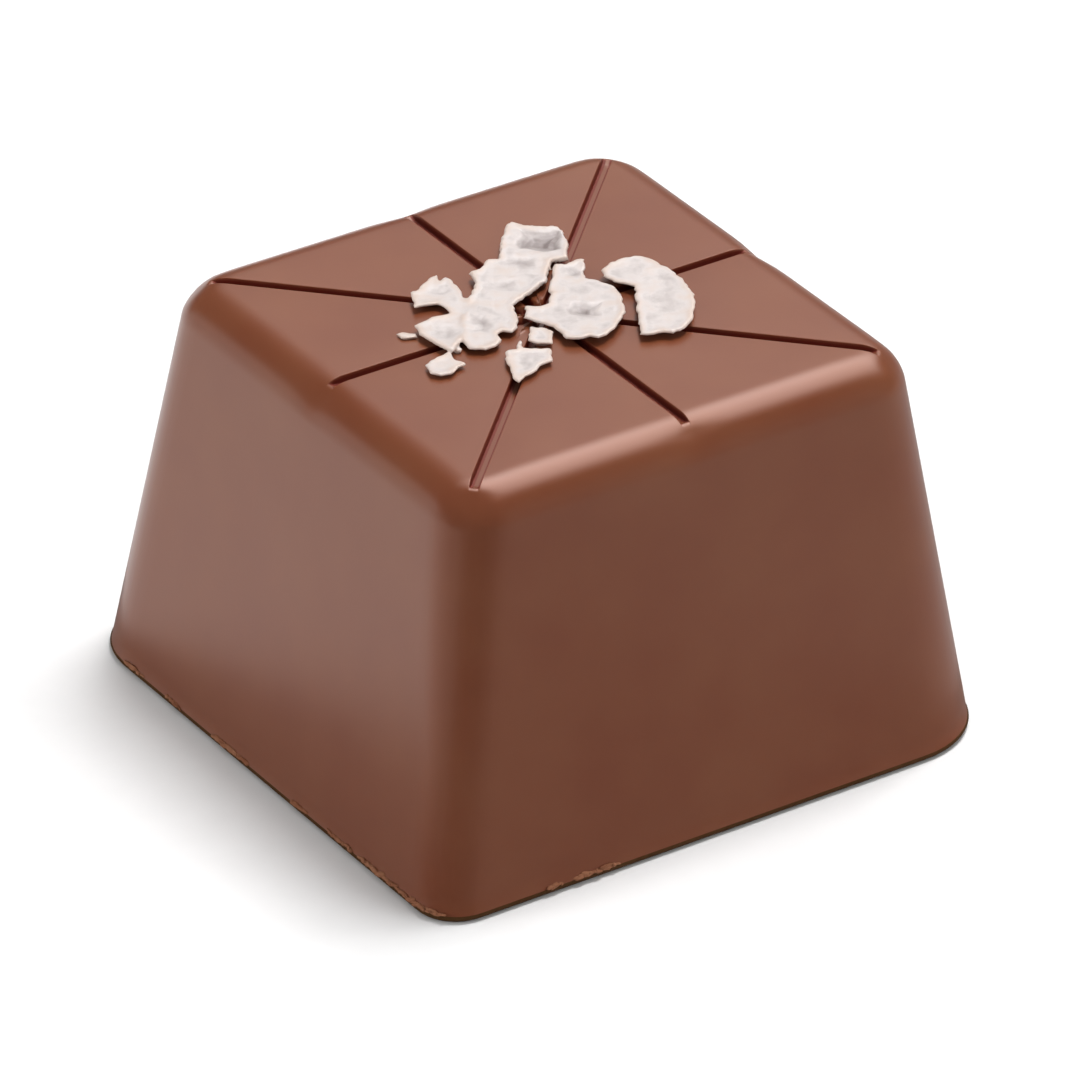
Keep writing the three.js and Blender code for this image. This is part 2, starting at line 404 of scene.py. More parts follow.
def scraped_and_painted_shade_chocolate(name, dark, pale):
    material, tree, place = blank_material(name)
    crumbs = add_node(tree, "ShaderNodeTexNoise", {
        "Vector": place, "Scale": per_metre(CRUMB_SIZE), "Detail": 2.0})
    tone = add_node(tree, "ShaderNodeMix", {
        "Factor": crumbs, "A": colour(dark), "B": colour(pale)}, data_type="RGBA")
    body = add_node(tree, "ShaderNodeBsdfPrincipled", {
        "Base Color": tone, "Roughness": TORN_ROUGHNESS, "Specular IOR Level": 0.05})
    add_node(tree, "ShaderNodeOutputMaterial", {"Surface": body})
    return material


scraped_chocolate = scraped_and_painted_shade_chocolate("milk_chocolate_scraped_dull", *SCRAPED_SHADES)
painted_foot_shade = scraped_and_painted_shade_chocolate("milk_chocolate_foot_painted_shade", *FOOT_PAINTED_SHADES)
print("scraped finishes:", scraped_chocolate.name, "and", painted_foot_shade.name)

# %% [markdown]
# ## A Geometry Nodes tree from a script
#
# A node tree is easy to change when its sizes are its inputs, so this makes a tree with a mesh in,
# a mesh out and a named input for every size. A modifier knows its inputs by identifiers and not
# by names, so the tree comes with a list of them. When it has run once, its result is kept as a
# plain mesh and the modifier is taken away.

# %% Make a tree with named inputs, and run it
def tree_with_inputs(name, sizes):
    """A Geometry Nodes tree with a mesh in, a mesh out and named sizes, and its identifiers."""
    tree = bpy.data.node_groups.new(name, "GeometryNodeTree")
    face = tree.interface
    for way in ("INPUT", "OUTPUT"):
        face.new_socket("Geometry", in_out=way, socket_type="NodeSocketGeometry")
    kinds = {int: "NodeSocketInt", tuple: "NodeSocketVector", float: "NodeSocketFloat"}
    keys = {}
    for label, value in sizes.items():
        kind = kinds.get(type(value), "NodeSocketMaterial")
        keys[label] = face.new_socket(label, in_out="INPUT", socket_type=kind).identifier
    return tree, keys


def evaluated_mesh(piece):
    """The mesh that a piece has with its modifiers."""
    bpy.context.view_layer.update()
    graph = bpy.context.evaluated_depsgraph_get()
    return bpy.data.meshes.new_from_object(
        piece.evaluated_get(graph), preserve_all_data_layers=True, depsgraph=graph)


def run_tree(piece, tree, keys, sizes):
    """Sets the inputs, evaluates the modifier once and keeps the result as a plain mesh."""
    modifier = piece.modifiers.new(tree.name, "NODES")
    modifier.node_group = tree
    for label, value in sizes.items():
        modifier[keys[label]] = value
    piece.update_tag()
    piece.data = evaluated_mesh(piece)
    piece.modifiers.clear()
    return piece.data


# %% [markdown]
# ## The sum that presses a groove
#
# In the mould the grooves are eight thin ridges that cross at one point. The ridges repeat by a
# rule, so one sum does them all: each point's angle about the crossing is folded onto the nearest
# ridge, which turns eight grooves into one question, how far is this point from the ridge line?
# Close to the line the point is pushed down, but never below the ridge's own level crest. The
# ridges run out softly where the rim begins to fall away, and a wider, very shallow dip runs on
# over the rim. That dip gives the panels between the grooves their pillow, and it breaks the light
# along the rim into soft lengths. The same sum marks the groove's walls and a strip of its floor
# beside them, where the material paints a dark shade into the brown: painted shade.
#
# Written as nodes this is a chain of Math and Map Range nodes, so it is kept as a table. Each row
# is one node: its name, its operation and what goes into it, where a text stands for a size, a
# coordinate or an earlier row. The rows that say LINEAR or SMOOTHSTEP are the Map Range nodes.

# %% Sizes of the grooves, and the table
GROOVE_SIZES = {
    "Groove Width": 0.49,
    "Floor Width": 0.39,
    "Groove Depth": 0.32,
    "Lip Softness": 0.03,
    "Run Out": 0.01,
    "Run Out End": 0.3,
    "Clear Above": 0.08,
    "Shade Width": 0.13,
    "Shade Blend": 0.03,
    "Shaded Depth": 0.08,
    "Pillow Drop": 0.025,
    "Rim Drop": 0.09,
    "Pillow Reach": 0.9,
    "Rim Dip Full": 0.25 * TOP_FILLET,
    "Rim Dip Fades": 0.3 * TOP_FILLET,
    "Pillow End": 0.85 * TOP_FILLET,
    "Top Height": HEIGHT,
    "Foot Top": 0.31,
}
FADES = ("LINEAR", "SMOOTHSTEP")

GROOVE_TABLE = (
    ("angle", "ARCTAN2", "Y", "X"),
    ("step", "DIVIDE", 2 * math.pi, "Groove Count"),
    ("steps", "DIVIDE", "angle", "step"),
    ("whole steps", "ROUND", "steps"),
    ("ridge angle", "MULTIPLY", "whole steps", "step"),
    ("off angle", "SUBTRACT", "angle", "ridge angle"),
    ("sine", "SINE", "off angle"),
    ("share away", "ABSOLUTE", "sine"),
    ("x squared", "MULTIPLY", "X", "X"),
    ("y squared", "MULTIPLY", "Y", "Y"),
    ("squares", "ADD", "x squared", "y squared"),
    ("distance", "SQRT", "squares"),
    ("away", "MULTIPLY", "distance", "share away"),

    ("fallen", "SUBTRACT", "Top Height", "Z"),
    ("half floor", "DIVIDE", "Floor Width", 2.0),
    ("half width", "DIVIDE", "Groove Width", 2.0),
    ("wall", "LINEAR", "away", "half floor", "half width", 1.0, 0.0),
    ("run out", "SMOOTHSTEP", "fallen", "Run Out", "Run Out End", 1.0, 0.0),
    ("ridge", "MULTIPLY", "wall", "run out"),
    ("full depth", "ADD", "Groove Depth", "Clear Above"),
    ("below", "MULTIPLY", "full depth", "ridge"),
    ("above top", "ADD", "Top Height", "Clear Above"),
    ("crest", "SUBTRACT", "above top", "below"),
    ("pressed", "SMOOTH_MIN", "Z", "crest", "Lip Softness"),
    ("sunk", "SUBTRACT", "Z", "pressed"),
    ("down", "MULTIPLY", "sunk", -1.0),

    ("ratio", "DIVIDE", "away", "Pillow Reach"),
    ("ratio squared", "MULTIPLY", "ratio", "ratio"),
    ("exponent", "MULTIPLY", "ratio squared", -1.0),
    ("beside", "EXPONENT", "exponent"),
    ("rim dip starts", "SMOOTHSTEP", "fallen", 0.0, "Rim Dip Full", 0.0, 1.0),
    ("rim dip ends", "SMOOTHSTEP", "fallen", "Rim Dip Fades", "Pillow End", 1.0, 0.0),
    ("on rim", "MULTIPLY", "rim dip starts", "rim dip ends"),
    ("on top", "SMOOTHSTEP", "fallen", 0.0, "Pillow End", 1.0, 0.0),
    ("top dip", "MULTIPLY", "on top", "Pillow Drop"),
    ("rim dip", "MULTIPLY", "on rim", "Rim Drop"),
    ("dip", "ADD", "top dip", "rim dip"),
    ("pillow", "MULTIPLY", "beside", "dip"),
    ("inward", "MULTIPLY", "pillow", -1.0),

    # Painted shade: the rows below mark the walls and the floor strip that are painted dark.
    ("shade starts", "SUBTRACT", "half floor", "Shade Width"),
    ("shade full", "ADD", "shade starts", "Shade Blend"),
    ("in groove", "SMOOTHSTEP", "sunk", 0.0, "Shaded Depth", 0.0, 1.0),
    ("near wall", "SMOOTHSTEP", "away", "shade starts", "shade full", 0.0, 1.0),
    ("on wall", "MULTIPLY", "in groove", "near wall"),
)
print("rows of the groove table:", len(GROOVE_TABLE))

# %% [markdown]
# ## Press the sunburst
#
# The tree reads each point's place, works down the table, and moves the point: down by what the
# ridge asks, and inwards along its normal by what the pillow asks. It ends with the materials: the
# moulded chocolate for the whole block, and for the foot the dark one, whose colour is painted shade.

# %% Geometry Nodes that press the grooves
def press_sunburst(piece, material, foot_material):
    sizes = {label: length * MM for label, length in GROOVE_SIZES.items()}
    sizes["Groove Count"] = GROOVE_COUNT
    sizes["Centre"] = (GROOVE_CENTRE[0] * MM, GROOVE_CENTRE[1] * MM, 0.0)
    sizes["Chocolate"] = material
    sizes["Foot"] = foot_material
    tree, keys = tree_with_inputs("press_sunburst", sizes)
    given = add_node(tree, "NodeGroupInput").outputs
    place = add_node(tree, "GeometryNodeInputPosition")
    about = add_node(tree, "ShaderNodeVectorMath", (place, given["Centre"]), operation="SUBTRACT")
    parts = add_node(tree, "ShaderNodeSeparateXYZ", (about,)).outputs

    known = {label: given[label] for label in sizes}
    known.update({axis: parts[axis] for axis in "XYZ"})
    for name, operation, *values in GROOVE_TABLE:
        filled = [known[value] if isinstance(value, str) else value for value in values]
        if operation in FADES:
            known[name] = add_node(tree, "ShaderNodeMapRange", filled, interpolation_type=operation)
        else:
            known[name] = add_node(tree, "ShaderNodeMath", filled, operation=operation)

    # The attribute groove carries the mask of the painted groove shade to the material.
    marked = add_node(tree, "GeometryNodeStoreNamedAttribute", {
        "Geometry": given["Geometry"], "Name": "groove", "Value": known["on wall"]},
        data_type="FLOAT", domain="POINT")
    normal = add_node(tree, "GeometryNodeInputNormal")
    inward = add_node(tree, "ShaderNodeVectorMath", {
        0: normal, "Scale": known["inward"]}, operation="SCALE")
    down = add_node(tree, "ShaderNodeCombineXYZ", {"Z": known["down"]})
    moved = add_node(tree, "ShaderNodeVectorMath", (inward, down), operation="ADD")
    shaped = add_node(tree, "GeometryNodeSetPosition", {"Geometry": marked, "Offset": moved})
    whole = add_node(tree, "GeometryNodeRealizeInstances", (shaped,))
    smooth = add_node(tree, "GeometryNodeSetShadeSmooth", (whole,))
    dressed = add_node(tree, "GeometryNodeSetMaterial", {
        "Geometry": smooth, "Material": given["Chocolate"]})
    # Painted shade: the foot below this height gets the material painted dark.
    low = add_node(tree, "FunctionNodeCompare", {
        "A": parts["Z"], "B": given["Foot Top"]}, data_type="FLOAT", operation="LESS_THAN")
    footed = add_node(tree, "GeometryNodeSetMaterial", {
        "Geometry": dressed, "Selection": low, "Material": given["Foot"]})
    add_node(tree, "NodeGroupOutput", (footed,))
    return run_tree(piece, tree, keys, sizes)


pressed_block = press_sunburst(block, chocolate, painted_foot_shade)
near_middle = [v.co.z for v in pressed_block.vertices if 0 < v.co.z and v.co.xy.length < MM]
print("groove floor under the flat top, mm:", round(HEIGHT - min(near_middle) / MM, 2))

# %% [markdown]
# ## Scrapings along the foot
#
# When a filled mould is scraped level, thin curls of chocolate are left along the open edge, and
# some of them stay on the piece, just above the foot. They could be placed by hand, but they
# follow a path by a rule, so Geometry Nodes lay them: the base outline is a curve, points are
# set along it, a noise keeps only some stretches, and a small lump is put on each point, turned
# along the edge and stretched by chance. After that every lump is pushed about by a fine noise,
# so that no two are alike. Most of them are on the side towards -X, as the photograph has them.

# %% Geometry Nodes that lay the scrapings
SCRAPING_HEIGHT = 0.38
SCRAPING_TIP = Vector((0.35, 0.35, 0.5))
SCRAPING_RAG = 0.16
NOISE_RANGE = (0.3, 0.7)
OUTLINE_STEPS = 720
SCRAPING_SIZES = {
    "Spacing": 0.16 * MM,
    "Smallest": (0.04 * MM, 0.04 * MM, 0.08 * MM),
    "Largest": (0.14 * MM, 0.14 * MM, 0.42 * MM),
    "Cluster Size": 2.6 * MM,
    "Scraped Side": (0.5 - BASE_HALF) * MM,
    "Scraped Share": 0.7,
    "Other Share": 0.2,
    "Seed": 5,
}


def scraping_path():
    """The block's outline just above the foot, as a piece that is one closed line."""
    turns = np.linspace(0, 2 * math.pi, OUTLINE_STEPS, endpoint=False)
    headings = np.c_[np.cos(turns), np.sin(turns)]
    half = BASE_HALF - SCRAPING_HEIGHT * math.tan(LEAN)
    far = reach(np.zeros_like(headings), headings, half, corner_radii(SCRAPING_HEIGHT))
    points = np.c_[headings * far[:, None], np.full(OUTLINE_STEPS, SCRAPING_HEIGHT)] * MM
    edges = [(i, (i + 1) % OUTLINE_STEPS) for i in range(OUTLINE_STEPS)]
    return new_piece("edge_scrapings", points.tolist(), edges=edges)


def lay_scrapings(path, material):
    sizes = {**SCRAPING_SIZES, "Chocolate": material}
    tree, keys = tree_with_inputs("lay_scrapings", sizes)
    given = add_node(tree, "NodeGroupInput").outputs
    curve = add_node(tree, "GeometryNodeMeshToCurve", {"Mesh": given["Geometry"]})
    even = add_node(tree, "GeometryNodeResampleCurve", {
        "Curve": curve, "Length": given["Spacing"]}, mode="LENGTH")
    along = add_node(tree, "GeometryNodeCurveToPoints", {"Curve": even}, mode="EVALUATED").outputs

    place = add_node(tree, "GeometryNodeInputPosition")
    side = add_node(tree, "ShaderNodeSeparateXYZ", (place,)).outputs["X"]
    scraped = add_node(tree, "FunctionNodeCompare", {
        "A": side, "B": given["Scraped Side"]}, data_type="FLOAT", operation="LESS_THAN")
    share = add_node(tree, "GeometryNodeSwitch", {
        "Switch": scraped, "False": given["Other Share"], "True": given["Scraped Share"]},
        input_type="FLOAT")
    scale = add_node(tree, "ShaderNodeMath", (1.0, given["Cluster Size"]), operation="DIVIDE")
    clusters = add_node(tree, "ShaderNodeTexNoise", {
        "Vector": place, "W": given["Seed"], "Detail": 2.0, "Scale": scale},
        noise_dimensions="4D")
    spread = add_node(tree, "ShaderNodeMapRange", (clusters, *NOISE_RANGE))
    keep = add_node(tree, "FunctionNodeCompare", {
        "A": spread, "B": share}, data_type="FLOAT", operation="LESS_THAN")

    lump = add_node(tree, "GeometryNodeMeshUVSphere", {"Segments": 8, "Rings": 5, "Radius": 1.0})
    size = add_node(tree, "FunctionNodeRandomValue", {
        0: given["Smallest"], 1: given["Largest"], "Seed": given["Seed"]},
        data_type="FLOAT_VECTOR")
    lumps = add_node(tree, "GeometryNodeInstanceOnPoints", {
        "Points": along["Points"], "Selection": keep, "Instance": lump,
        "Rotation": along["Rotation"], "Scale": size})
    tip = add_node(tree, "FunctionNodeRandomValue", {
        0: -SCRAPING_TIP, 1: SCRAPING_TIP, "Seed": given["Seed"]}, data_type="FLOAT_VECTOR")
    tipped = add_node(tree, "GeometryNodeRotateInstances", {"Instances": lumps, "Rotation": tip})
    whole = add_node(tree, "GeometryNodeRealizeInstances", (tipped,))
    ragged = add_node(tree, "ShaderNodeTexNoise", {
        "Vector": place, "Scale": per_metre(SCRAPING_RAG), "Detail": 1.0}).outputs["Color"]
    about = add_node(tree, "ShaderNodeVectorMath", (ragged, (0.5, 0.5, 0.5)), operation="SUBTRACT")
    push = add_node(tree, "ShaderNodeVectorMath", {
        0: about, "Scale": SCRAPING_RAG * MM}, operation="SCALE")
    bent = add_node(tree, "GeometryNodeSetPosition", {"Geometry": whole, "Offset": push})
    smooth = add_node(tree, "GeometryNodeSetShadeSmooth", (bent,))
    dressed = add_node(tree, "GeometryNodeSetMaterial", {
        "Geometry": smooth, "Material": given["Chocolate"]})
    add_node(tree, "NodeGroupOutput", (dressed,))
    return run_tree(path, tree, keys, sizes)


scrapings = scraping_path()
laid = lay_scrapings(scrapings, scraped_chocolate)
print("scrapings:", len(laid.polygons), "faces")

# %% [markdown]
# ## Salt flakes
#
# Sea salt flakes grow as thin hollow pyramids on the surface of brine. When they are crushed they
# break into flat plates with ragged edges, some with the square steps of the pyramid still in
# them. Each flake below is drawn by the corners of its plate on the top of the candy, in
# millimetres, the height it stands at and the degrees that it tips by. Its recesses are the square
# steps: a middle, a length and a width, and a depth, all turned the same way as the crystal. Four
# of the flakes lie so close that they read as one crust, so they share a group and one surface
# runs over them. Every other flake is a group of its own.

# %% The flakes of the heap
CRYSTAL_TURN = -33

FLAKES = {
    "upper_hopper": {
        "group": "crust", "height": 0.42, "slope": (0.8, 0.0),
        "corners": [(2.4, 6.4), (2.8, 6.6), (3.1, 6.0), (4.2, 5.2), (4.3, 4.8), (3.8, 3.7), (3.2, 2.8),
                    (2.4, 2.9), (1.4, 1.7), (0.2, 1.2), (-0.7, 1.1), (-0.9, 2.6), (0.0, 3.6), (0.7, 4.2),
                    (1.2, 5.0), (1.9, 5.8)],
        "recesses": [((2.95, 4.6), (1.9, 1.8), 0.24), ((1.45, 3.5), (1.1, 0.9), 0.09)],
    },
    "middle_plate": {
        "group": "crust", "height": 0.34, "slope": (0.8, 0.0),
        "corners": [(0.3, 4.5), (-0.5, 4.0), (-1.0, 4.0), (-1.1, 3.4), (-1.5, 2.8), (-2.0, 2.4),
                    (-2.5, 2.0), (-3.5, 0.9), (-4.2, -0.4), (-4.3, -1.2), (-3.8, -1.6), (-3.3, -1.6),
                    (-2.8, -1.3), (-2.7, -0.8), (-2.4, -0.7), (-2.1, -1.0), (-1.7, -0.8), (-1.4, -0.4),
                    (-1.1, 0.2), (-0.9, 0.8), (0.3, 1.3), (1.2, 2.0), (1.2, 3.9)],
        "recesses": [((-2.8, 0.3), (1.0, 1.7), 0.06), ((-0.5, 2.5), (1.5, 1.0), 0.04)],
    },
    "left_upper_arm": {
        "group": "crust", "height": 0.3, "slope": (1.0, 1.0),
        "corners": [(-3.8, 4.0), (-3.4, 4.0), (-3.0, 4.3), (-2.4, 4.6), (-2.1, 4.6), (-2.3, 4.1),
                    (-1.9, 4.3), (-1.8, 3.9), (-1.9, 3.3), (-2.2, 2.5), (-1.8, 1.6), (-3.0, 0.8),
                    (-3.4, 1.6), (-3.3, 2.1), (-3.4, 2.6), (-3.7, 2.7), (-4.4, 2.8), (-4.1, 3.4)],
        "recesses": [((-2.9, 3.5), (1.2, 0.9), 0.05)],
    },
    "left_lower_arm": {
        "group": "crust", "height": 0.3, "slope": (0.0, 1.0),
        "corners": [(-5.2, 1.6), (-4.7, 1.7), (-4.0, 1.8), (-3.5, 1.7), (-2.8, 1.6), (-3.5, 0.0),
                    (-4.4, -0.6), (-5.0, -1.0), (-5.2, -0.5), (-5.3, 0.2), (-5.4, 0.9)],
        "recesses": [((-4.4, 0.5), (1.1, 1.5), 0.06)],
    },
    "right_plate": {
        "height": 0.38, "slope": (-0.5, -0.6),
        "corners": [(2.4, 2.7), (2.8, 2.4), (3.4, 2.5), (3.7, 2.4), (2.8, 1.0), (3.1, 0.6), (3.3, 0.1),
                    (3.4, -0.3), (3.3, -0.8), (2.9, -1.7), (2.6, -2.3), (1.9, -2.8), (1.3, -3.2),
                    (0.9, -3.4), (0.5, -3.4), (0.3, -3.1), (-0.2, -3.0), (-0.6, -2.7), (-0.5, -1.6),
                    (-0.8, -1.0), (-1.1, -0.3), (-0.5, 0.5), (0.0, 0.1), (0.4, 0.1), (0.8, 0.6),
                    (1.2, 1.3), (1.7, 1.8)],
        "recesses": [((1.35, -1.15), (1.4, 1.3), 0.16), ((2.75, 1.75), (0.9, 0.9), 0.12)],
    },
    "beak": {
        "height": 0.4, "slope": (0.4, -0.8),
        "corners": [(3.7, 1.2), (4.3, 1.5), (5.0, 1.5), (5.6, 1.3), (5.9, 0.9), (6.0, 0.3), (6.1, -0.5),
                    (6.1, -1.1), (6.0, -1.8), (5.8, -2.6), (5.3, -3.3), (4.6, -4.2), (4.1, -4.5),
                    (3.3, -4.7), (3.0, -4.4), (2.3, -4.2), (2.1, -4.0), (3.2, -2.1), (4.1, -0.7),
                    (3.9, -0.3), (3.6, 0.1), (3.5, 0.7)],
        "recesses": [((4.9, -1.7), (3.8, 1.3), 0.035), ((5.1, -1.9), (1.6, 0.7), 0.03)],
        "turn": CRYSTAL_TURN + 90,
    },
    "small_block": {
        "height": 0.24,
        "corners": [(-1.2, -0.9), (-0.7, -1.4), (-0.6, -1.8), (-1.2, -2.6), (-1.8, -2.1), (-1.9, -1.8)],
    },
    "front_point": {
        "height": 0.26, "slope": (1.0, -0.6),
        "corners": [(-3.2, -2.1), (-2.7, -2.2), (-2.1, -1.5), (-2.4, -2.3), (-2.2, -2.5), (-1.5, -2.9),
                    (-1.8, -3.4), (-2.0, -3.8), (-2.6, -3.8), (-3.1, -4.1), (-3.6, -4.2), (-4.1, -4.5),
                    (-4.1, -4.0), (-3.9, -3.6), (-3.6, -2.8)],
        "recesses": [((-3.0, -3.1), (0.6, 0.9), 0.03)],
    },
    "left_chip": {
        "height": 0.22, "slope": (0.0, 0.8),
        "corners": [(-6.5, -1.2), (-6.1, -1.0), (-5.5, -0.9), (-5.0, -0.8), (-5.2, -1.4), (-5.0, -2.0),
                    (-5.6, -2.2), (-6.0, -2.4), (-6.4, -2.3), (-6.7, -1.9)],
    },
    "needle": {
        "height": 0.13,
        "corners": [(-6.0, 1.7), (-5.7, 1.7), (-5.3, 1.3), (-5.4, 1.0), (-6.0, 1.3)],
    },
    "crumb": {
        "height": 0.15,
        "corners": [(-4.6, -0.3), (-4.4, -0.5), (-4.4, -0.8), (-4.6, -1.0), (-4.8, -0.7)],
    },
}
print("flakes:", len(FLAKES), "corners:", sum(len(flake["corners"]) for flake in FLAKES.values()))

# %% [markdown]
# ## Break the outlines
#
# A crystal doesn't snap along the straight lines between a few corners. Each outline gets extra
# points a short step apart, and each of them is pushed a little in or out by a seeded draw. Then
# one question is asked again and again while the flakes are built: how far inside an outline is a
# point? The edge, the rim and the undercut of a flake all follow from that distance.

# %% Ragged outlines and the distance to them
BREAK_STEP = 0.22
BREAK_JITTER = 0.06
BREAK_SHIFT = 0.3
BREAK_LIMIT = 10


def broken_outline(corners, draw):
    """The outline with extra points a short step apart, each pushed a little to one side."""
    points = []
    for here, there in zip(corners, corners[1:] + corners[:1]):
        here = np.array(here)
        side = np.array(there) - here
        length = np.hypot(*side)
        normal = np.array([side[1], -side[0]]) / length
        parts = max(1, round(length / BREAK_STEP))
        jitter = min(BREAK_JITTER, length / BREAK_LIMIT)
        points.append(here)
        for k in range(1, parts):
            share = (k + draw.uniform(-BREAK_SHIFT, BREAK_SHIFT)) / parts
            points.append(here + side * share + normal * draw.uniform(-jitter, jitter))
    return np.array(points)


def inner_distance(points, outline):
    """Distance from each point to the outline, positive inside it and negative outside."""
    best = np.full(len(points), 1e9)
    inside = np.zeros(len(points), bool)
    for a, b in zip(outline, np.roll(outline, -1, axis=0)):
        side = b - a
        share = np.clip((points - a) @ side / (side @ side), 0, 1)
        gap = points - a - share[:, None] * side
        best = np.minimum(best, np.hypot(gap[:, 0], gap[:, 1]))
        spans = (a[1] > points[:, 1]) != (b[1] > points[:, 1])
        if spans.any():
            cross = a[0] + (points[:, 1] - a[1]) * side[0] / (side[1] or 1e-12)
            inside ^= spans & (points[:, 0] < cross)
    return np.where(inside, best, -best)


outlines = {name: broken_outline(flake["corners"], random.Random(seed))
            for seed, (name, flake) in enumerate(FLAKES.items())}
print("outline points:", sum(len(outline) for outline in outlines.values()))

# %% [markdown]
# ## The surface of a group of flakes
#
# For any point of the plan this works out where the flake's top and its underside are. The top
# follows the plate's height and tilt, rises a little to a rim, steps down into the recesses, and
# carries faint growth lines along the crystal's own directions. At the border it rolls over. The
# underside starts high at the border and slopes down into the chocolate, so that a flake touches
# only under its middle: the dark gap round a real flake comes from that. Where flakes share a
# group, their heights are blended by how deep the point lies in each.

# %% Top, underside and greyness of the salt
SMALL_FLAKE = 0.3
LEAST_SCALE = 0.3
EDGE_ROLL = 0.09
RIM_RISE = 0.045
RIM_WIDTH = 0.42
UNDERCUT = 0.9
UNDERCUT_SHARE = 0.8
FLAKE_SINK = 0.14
STEP_WALL = 0.3
STEP_INSET = 0.24
STEP_WOBBLE = 0.12
WOBBLE_PACES = (4.1, 3.7)
WOBBLE_SHIFTS = (90, 1)
GROWTH_STEP = 0.5
GROWTH_RISE = 0.016
GROWTH_STRETCH = 0.8
THINNEST = 0.02
GREY_DEPTH = 0.15
GREY_INSIDE = 0.38


def soft_step(value):
    """Eases from 0 to 1 while the value goes from 0 to 1."""
    t = np.clip(value, 0, 1)
    return t * t * (3 - 2 * t)


def turned(points, degrees):
    """The points' places along and across a direction."""
    along = np.array([math.cos(math.radians(degrees)), math.sin(math.radians(degrees))])
    across = np.array([-along[1], along[0]])
    return points @ along, points @ across


def recess_depth(points, recess, turn):
    """How deep each point lies in the two steps of a recess, whose walls wave a little."""
    middle, (length, width), depth = recess
    u, v = turned(points - middle, turn)
    bend = STEP_WOBBLE * np.sin(WOBBLE_PACES[0] * v + depth * WOBBLE_SHIFTS[0])
    v = v + STEP_WOBBLE * np.sin(WOBBLE_PACES[1] * u + WOBBLE_SHIFTS[1])
    u = u + bend
    into = np.minimum(length / 2 - np.abs(u), width / 2 - np.abs(v))
    first = soft_step(into / STEP_WALL)
    second = soft_step((into - min(length, width) * STEP_INSET) / STEP_WALL)
    return depth * (0.5 * first + 0.5 * second)


def flake_surface(points, group):
    """Heights of a group's top and underside above the candy, greyness, and depth inside it."""
    deepest = np.full(len(points), -1e9)
    blend = np.zeros(len(points))
    total = np.zeros(len(points))
    sunk = np.zeros(len(points))
    for name, flake in FLAKES.items():
        if flake.get("group", name) != group:
            continue
        inner = inner_distance(points, outlines[name])
        middle = outlines[name].mean(axis=0)
        tip_x, tip_y = (math.tan(math.radians(angle)) for angle in flake.get("slope", (0, 0)))
        off = points - middle
        level = flake["height"] + off[:, 1] * tip_x - off[:, 0] * tip_y
        weight = np.maximum(inner, 1e-4)
        blend += weight * level
        total += weight
        deepest = np.maximum(deepest, inner)
        for recess in flake.get("recesses", ()):
            depth = recess_depth(points, recess, flake.get("turn", CRYSTAL_TURN))
            sunk = np.maximum(sunk, depth)
    level = blend / total
    border = np.maximum(deepest, 0)
    widest = border.max()
    scale = np.clip(level / SMALL_FLAKE, LEAST_SCALE, 1)
    roll = EDGE_ROLL * scale
    over = roll - np.sqrt(np.maximum(roll ** 2 - (roll - np.minimum(border, roll)) ** 2, 0))
    rim = RIM_RISE * scale * (1 - soft_step(border / RIM_WIDTH))
    u, v = turned(points, CRYSTAL_TURN)
    growth = GROWTH_RISE * scale * ((u / GROWTH_STEP) % 1 + (v / GROWTH_STEP * GROWTH_STRETCH) % 1 - 1)
    top = level + rim - sunk - over + growth * soft_step(border / RIM_WIDTH)
    inward = soft_step(border / min(UNDERCUT, UNDERCUT_SHARE * widest))
    under = (level - roll) * (1 - inward) - FLAKE_SINK * inward
    # Painted shade: grey is lowest at the rim and highest in the hollows, which the material paints
    # grey.
    inside = GREY_INSIDE * soft_step(border / RIM_WIDTH)
    grey = inside + (1 - GREY_INSIDE) * np.clip(sunk / GREY_DEPTH, 0, 1)
    return top, np.minimum(under, top - THINNEST), grey, deepest


# %% [markdown]
# ## Build and fuse the crust
#
# Every flake starts as a closed shell: its plan is filled with a constrained triangulation, the
# upper sheet takes the top heights, the lower sheet the underside, and the border joins them. The
# shells of one heap cut through each other where they overlap. A voxel remesh rebuilds them as one
# closed skin and rounds their edges a little, as salt that has drawn damp is rounded. The remesh
# counts its voxels in whole units, so this step works in millimetres and the result is scaled.

# %% Shells, one skin, and its grey value
FILL_STEP = 0.09
FILL_JITTER = 0.2
BORDER_MARGIN = 0.3
FILL_SEED = 11
VOXEL = 0.05
TOP_MARGIN = 0.12
OUTSIDE_PENALTY = 10


def flake_shell(name, draw):
    """Points and faces of one flake in millimetres."""
    outline = outlines[name]
    low = outline.min(axis=0)
    high = outline.max(axis=0)
    columns, rows = np.ceil((high - low) / FILL_STEP).astype(int) + 1
    grid = np.array([
        (low[0] + (column + 0.5 * (row % 2) + draw.uniform(-FILL_JITTER, FILL_JITTER)) * FILL_STEP,
         low[1] + (row + draw.uniform(-FILL_JITTER, FILL_JITTER)) * FILL_STEP)
        for row in range(rows) for column in range(columns)])
    grid = grid[inner_distance(grid, outline) > BORDER_MARGIN * FILL_STEP]
    count = len(outline)
    edges = [(i, (i + 1) % count) for i in range(count)]
    filled = geometry.delaunay_2d_cdt(
        [Vector(p) for p in [*outline, *grid]], edges, [list(range(count))], 1, 1e-6)
    plan = np.array([tuple(v) for v in filled[0]])
    triangles = [tuple(f) for f in filled[2]]
    top, under, _, _ = flake_surface(plan, FLAKES[name].get("group", name))
    count = len(plan)
    points = np.concatenate([np.c_[plan, HEIGHT + top], np.c_[plan, HEIGHT + under]])
    faces = triangles + [(c + count, b + count, a + count) for a, b, c in triangles]
    sides = {side for a, b, c in triangles for side in ((a, b), (b, c), (c, a))}
    faces += [(b, a, a + count, b + count) for a, b in sorted(sides) if (b, a) not in sides]
    return points, faces


